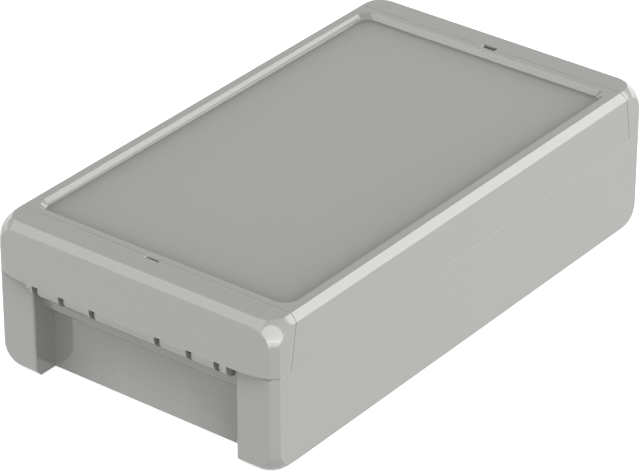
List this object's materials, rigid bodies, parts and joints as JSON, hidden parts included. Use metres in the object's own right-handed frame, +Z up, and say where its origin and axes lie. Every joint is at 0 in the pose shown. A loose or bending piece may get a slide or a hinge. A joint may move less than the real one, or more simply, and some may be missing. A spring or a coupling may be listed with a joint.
{
  "type": "plastic project box",
  "caption": "Flat light-grey plastic instrument enclosure with a base tray, a sealed lid with a keypad recess, and a hinged snap closure wrapping each short end.",
  "frame": {"origin": "middle of the underside of the closed box", "axes": "+X along the length towards the right closure, +Y across the width, +Z up through the lid"},
  "size_m": [0.228, 0.125, 0.06],
  "materials": {
    "shell_abs": "satin light-grey ABS, fine moulded grain",
    "seal_rubber": "matt dark sealing cord"
  },
  "bodies": {
    "base": {"base_shell": "shell_abs"},
    "left_closure": {"left_closure": "shell_abs"},
    "lid": {"lid": "shell_abs", "lid_gasket": "seal_rubber", "right_closure": "shell_abs"}
  },
  "joints": [
    {"name": "left_closure_hinge", "type": "hinge", "parent": "base", "child": "left_closure", "pos_m": [-0.11, 0, 0.0363], "axis": [0, -1, 0], "range_deg": [0, 90]},
    {"name": "lid_hinge", "type": "hinge", "parent": "base", "child": "lid", "pos_m": [0.11, 0, 0.0363], "axis": [0, 1, 0], "range_deg": [0, 90]}
  ]
}
